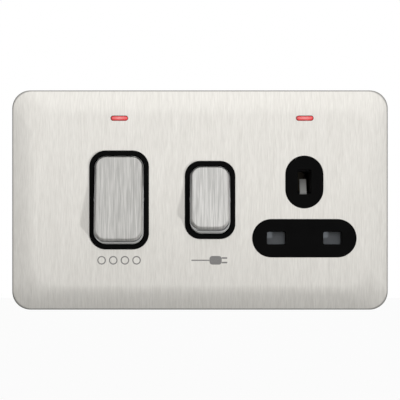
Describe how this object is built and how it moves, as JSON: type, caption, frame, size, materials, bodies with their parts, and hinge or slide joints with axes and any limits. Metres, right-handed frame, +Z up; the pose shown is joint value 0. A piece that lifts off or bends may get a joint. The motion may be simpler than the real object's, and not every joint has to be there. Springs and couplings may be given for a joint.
{
  "type": "cooker control unit",
  "caption": "Flush wall unit with a double-pole cooker switch and a switched three-pin socket under a screwless brushed steel plate, with red neon indicators.",
  "frame": {"origin": "centre of the two wall fixing holes, on the wall surface", "axes": "+X right as seen from the front, +Z up, +Y into the wall; the steel plate faces -Y"},
  "size_m": [0.149, 0.0377, 0.087],
  "materials": {
    "steel_plate": "satin, vertical grain",
    "black_moulding": "semi gloss",
    "rear_case": "fine texture",
    "rocker_plastic": "satin",
    "shutter_grey": "satin",
    "brass": "stamped",
    "contact_silver": "satin",
    "screw_steel": "zinc plated",
    "spring_steel": "drawn",
    "red_lens": "polished",
    "neon_glass": "clear",
    "resistor_body": "satin",
    "lead_white": "sleeve"
  },
  "bodies": {
    "unit": {"cooker_neon_lamp": "neon_glass", "cooker_neon_leads": "lead_white", "cooker_neon_lens": "red_lens", "cooker_neon_resistor": "resistor_body", "earth_contact": "brass", "earth_terminal": "brass", "faceplate": "steel_plate", "fixed_rivets": "contact_silver", "front_moulding": "black_moulding", "housing_screws": "screw_steel", "line_contact": "brass", "load_terminal_line": "brass", "load_terminal_neutral": "brass", "neutral_contact": "brass", "plate_earth_spring": "spring_steel", "rear_housing": "rear_case", "shutter_carrier": "shutter_grey", "shutter_spring": "spring_steel", "socket_feed_strip": "brass", "socket_neon_lamp": "neon_glass", "socket_neon_leads": "lead_white", "socket_neon_lens": "red_lens", "socket_neon_resistor": "resistor_body", "supply_terminal_line": "brass", "supply_terminal_neutral": "brass", "terminal_screws": "screw_steel"},
    "cooker_rocker": {"cooker_rocker": "rocker_plastic", "cooker_rocker_cap": "steel_plate", "cooker_plungers": "rocker_plastic", "cooker_plunger_springs": "spring_steel"},
    "socket_rocker": {"socket_rocker": "rocker_plastic", "socket_rocker_cap": "steel_plate", "socket_plunger": "rocker_plastic", "socket_plunger_spring": "spring_steel"},
    "line_arm": {"line_contact_arm": "brass", "line_arm_rivet": "contact_silver"},
    "neutral_arm": {"neutral_contact_arm": "brass", "neutral_arm_rivet": "contact_silver"},
    "socket_arm": {"socket_contact_arm": "brass", "socket_arm_rivet": "contact_silver"},
    "shutter": {"shutter": "shutter_grey"}
  },
  "joints": [
    {"name": "cooker_switch", "type": "hinge", "parent": "unit", "child": "cooker_rocker", "pos_m": [-0.03195, -0.004, 0], "axis": [1, 0, 0], "range_deg": [0, 16]},
    {"name": "socket_switch", "type": "hinge", "parent": "unit", "child": "socket_rocker", "pos_m": [0.00397, -0.004, 0], "axis": [1, 0, 0], "range_deg": [0, 20]},
    {"name": "line_arm_rock", "type": "hinge", "parent": "unit", "child": "line_arm", "pos_m": [-0.02635, 0.0141, 0], "axis": [-1, 0, 0], "range_deg": [0, 16]},
    {"name": "neutral_arm_rock", "type": "hinge", "parent": "unit", "child": "neutral_arm", "pos_m": [-0.03755, 0.0141, 0], "axis": [-1, 0, 0], "range_deg": [0, 16]},
    {"name": "socket_arm_rock", "type": "hinge", "parent": "unit", "child": "socket_arm", "pos_m": [0.00397, 0.0141, 0], "axis": [-1, 0, 0], "range_deg": [0, 16]},
    {"name": "shutter_slide", "type": "slide", "parent": "unit", "child": "shutter", "axis": [0, 0, -1], "range_m": [0, 0.0059], "stiffness_N_per_m": 80, "springref_m": -0.004, "deforming": ["shutter_spring"]}
  ],
  "couplings": [
    {"joint": "line_arm_rock", "follows": "cooker_switch", "ratio": 1},
    {"joint": "neutral_arm_rock", "follows": "cooker_switch", "ratio": 1},
    {"joint": "socket_arm_rock", "follows": "socket_switch", "ratio": 0.8}
  ]
}
